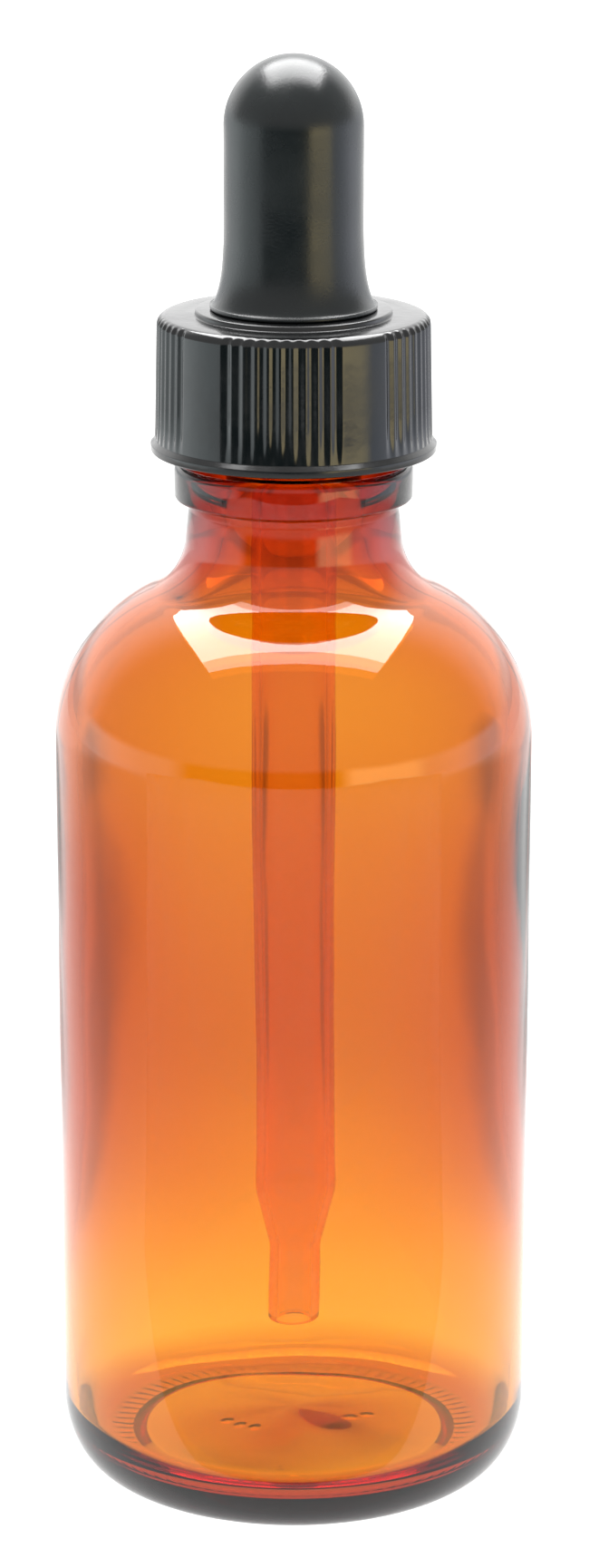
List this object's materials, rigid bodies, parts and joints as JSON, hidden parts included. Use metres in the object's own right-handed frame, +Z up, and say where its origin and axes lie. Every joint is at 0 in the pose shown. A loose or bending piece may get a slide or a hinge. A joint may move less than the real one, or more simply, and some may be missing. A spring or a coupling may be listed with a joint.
{
  "type": "dropper bottle",
  "caption": "Round glass dropper bottle with a ribbed screw cap, a rubber bulb and a glass pipette, for storing and dispensing liquid by the drop.",
  "frame": {"origin": "middle of the base, on the plane the bottle stands on", "axes": "+Z up along the bottle's axis of turning; +X through the lower end of the thread on the neck"},
  "size_m": [0.039, 0.039, 0.1183],
  "materials": {
    "amber_glass": "glossy amber soda-lime glass",
    "black_phenolic": "glossy moulded phenolic",
    "black_rubber": "satin rubber",
    "pipette_glass": "drawn glass, faintly amber",
    "washer_foam": "matt polyethylene foam"
  },
  "bodies": {
    "bottle": {"bottle": "amber_glass"},
    "washer": {"sealing_washer": "washer_foam"},
    "pipette": {"glass_pipette": "pipette_glass"},
    "bulb": {"rubber_bulb": "black_rubber"},
    "cap": {"screw_cap": "black_phenolic"}
  },
  "joints": [
    {"name": "dropper_lift", "type": "slide", "parent": "bottle", "child": "washer", "axis": [0, 0, 1], "range_m": [0, 0.09]},
    {"name": "thread_rise", "type": "slide", "parent": "washer", "child": "pipette", "axis": [0, 0, 1], "range_m": [0, 0.00397]},
    {"name": "cap_turn", "type": "hinge", "parent": "pipette", "child": "cap", "pos_m": [0, 0, 0.0976], "axis": [0, 0, 1], "range_deg": [0, 450]},
    {"name": "bulb_squeeze", "type": "slide", "parent": "pipette", "child": "bulb", "axis": [0, 0, 1], "range_m": [-0.004, 0], "stiffness_N_per_m": 1500, "deforming": ["rubber_bulb"]}
  ],
  "couplings": [
    {"joint": "thread_rise", "follows": "cap_turn", "m_per_rad": 0.00050532}
  ]
}
